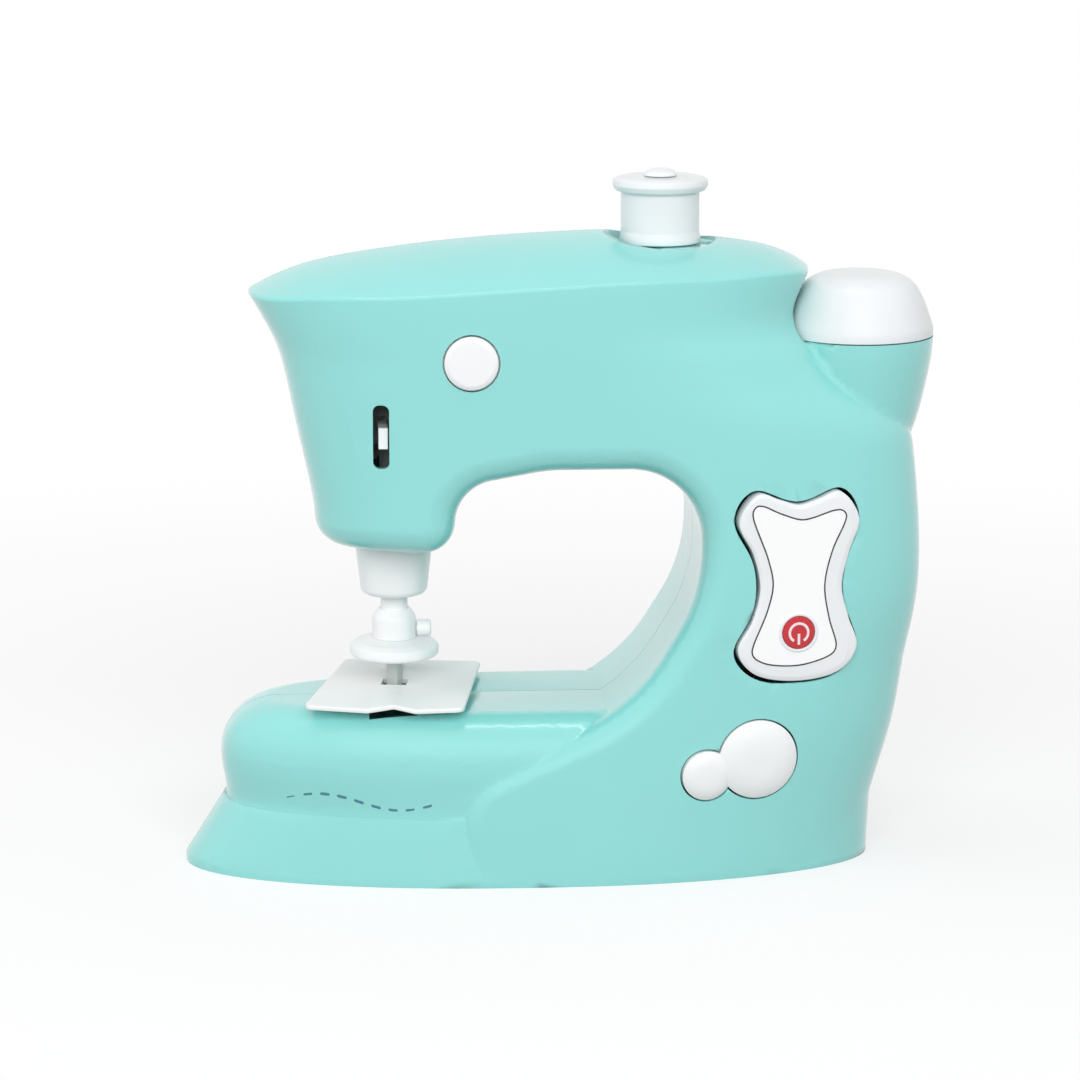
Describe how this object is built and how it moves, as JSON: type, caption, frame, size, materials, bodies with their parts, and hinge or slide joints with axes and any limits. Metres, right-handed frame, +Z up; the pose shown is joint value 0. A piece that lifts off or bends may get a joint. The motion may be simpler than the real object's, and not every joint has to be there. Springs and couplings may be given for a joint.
{
  "type": "toy sewing machine",
  "caption": "Battery toy sewing machine: rounded two-shell plastic body with arm, column and bed, thread spool, hand wheel dome, push buttons, needle slide and presser foot.",
  "frame": {"origin": "middle of the footprint on the table, at the bottom of the bed", "axes": "+X along the machine towards the column, -Y to the front with the panel, +Z up"},
  "size_m": [0.2518, 0.0864, 0.2342],
  "materials": {
    "mint_abs": "glossy moulded",
    "white_abs": "glossy moulded",
    "grey_abs": "satin moulded",
    "red_abs": "glossy moulded",
    "white_acetal": "satin moulded",
    "plain_steel": "bright drawn",
    "spring_brass": "bright",
    "cell_jacket": "printed jacket",
    "green_board": "solder mask",
    "black_plastic": "matt moulded",
    "lead_cover": "matt"
  },
  "bodies": {
    "machine": {"front_shell": "mint_abs", "rear_shell": "mint_abs", "bottom_cover": "mint_abs", "battery_door": "mint_abs", "spool_pin": "white_abs", "control_panel": "white_abs", "needle_guide": "white_abs", "battery_box": "grey_abs", "gearbox_frame": "grey_abs", "crank_axle": "plain_steel", "motor": "plain_steel", "shell_screws": "plain_steel", "frame_screws": "plain_steel", "cover_screws": "plain_steel", "battery_contacts": "spring_brass", "battery_cells": "cell_jacket", "circuit_board": "green_board", "head_board": "green_board", "bubble_board": "green_board", "power_switch": "black_plastic", "head_switch": "black_plastic", "bubble_switch": "black_plastic", "control_chip": "black_plastic", "battery_lead": "lead_cover", "motor_lead": "lead_cover"},
    "power_button": {"power_button": "red_abs"},
    "head_button": {"head_button": "white_abs"},
    "bubble_button": {"bubble_button": "white_abs"},
    "spool": {"spool": "white_abs"},
    "hand_wheel": {"hand_wheel": "white_abs", "wheel_axle": "plain_steel", "wheel_clip": "plain_steel"},
    "needle": {"needle_bar": "grey_abs", "needle_clamp": "white_abs", "clamp_screw": "white_abs", "needle_collar": "white_abs", "needle": "grey_abs", "needle_yoke": "white_abs"},
    "presser": {"presser_bar": "grey_abs", "presser_ring": "grey_abs", "presser_foot": "white_abs"},
    "crank": {"crank_gear": "white_acetal", "crank_pin": "plain_steel"},
    "idler": {"idler_pinion": "white_acetal", "idler_wheel": "white_acetal", "idler_shaft": "plain_steel"},
    "motor_rotor": {"motor_pinion": "white_acetal", "motor_shaft": "plain_steel"}
  },
  "joints": [
    {"name": "power_press", "type": "slide", "parent": "machine", "child": "power_button", "axis": [-0.1499, 0.9886, 0.0143], "range_m": [0, 0.0015], "stiffness_N_per_m": 400, "springref_m": -0.001},
    {"name": "head_press", "type": "slide", "parent": "machine", "child": "head_button", "axis": [0.0572, 0.9984, 0.0021], "range_m": [0, 0.0015], "stiffness_N_per_m": 400, "springref_m": -0.001},
    {"name": "bubble_press", "type": "slide", "parent": "machine", "child": "bubble_button", "axis": [-0.1874, 0.9811, 0.0489], "range_m": [0, 0.0015], "stiffness_N_per_m": 400, "springref_m": -0.001},
    {"name": "spool_spin", "type": "hinge", "parent": "machine", "child": "spool", "pos_m": [0.0342, 0, 0.22], "axis": [0, 0, 1], "continuous": true},
    {"name": "hand_wheel_spin", "type": "hinge", "parent": "machine", "child": "hand_wheel", "pos_m": [0.101, 0, 0.19], "axis": [0, 0, 1], "continuous": true},
    {"name": "needle_slide", "type": "slide", "parent": "machine", "child": "needle", "axis": [0, 0, 1], "range_m": [-0.0048, 0.0048]},
    {"name": "presser_lift", "type": "slide", "parent": "machine", "child": "presser", "axis": [0, 0, 1], "range_m": [0, 0.0025]},
    {"name": "crank_spin", "type": "hinge", "parent": "machine", "child": "crank", "pos_m": [-0.0548, 0.015, 0.15], "axis": [0, 1, 0], "continuous": true},
    {"name": "idler_spin", "type": "hinge", "parent": "machine", "child": "idler", "pos_m": [-0.03668, 0.02, 0.16176], "axis": [0, 1, 0], "continuous": true},
    {"name": "motor_spin", "type": "hinge", "parent": "machine", "child": "motor_rotor", "pos_m": [-0.01921, 0.02, 0.16813], "axis": [0, 1, 0], "continuous": true}
  ],
  "couplings": [
    {"joint": "idler_spin", "follows": "crank_spin", "ratio": -2.8571},
    {"joint": "motor_spin", "follows": "crank_spin", "ratio": 9.7959}
  ]
}
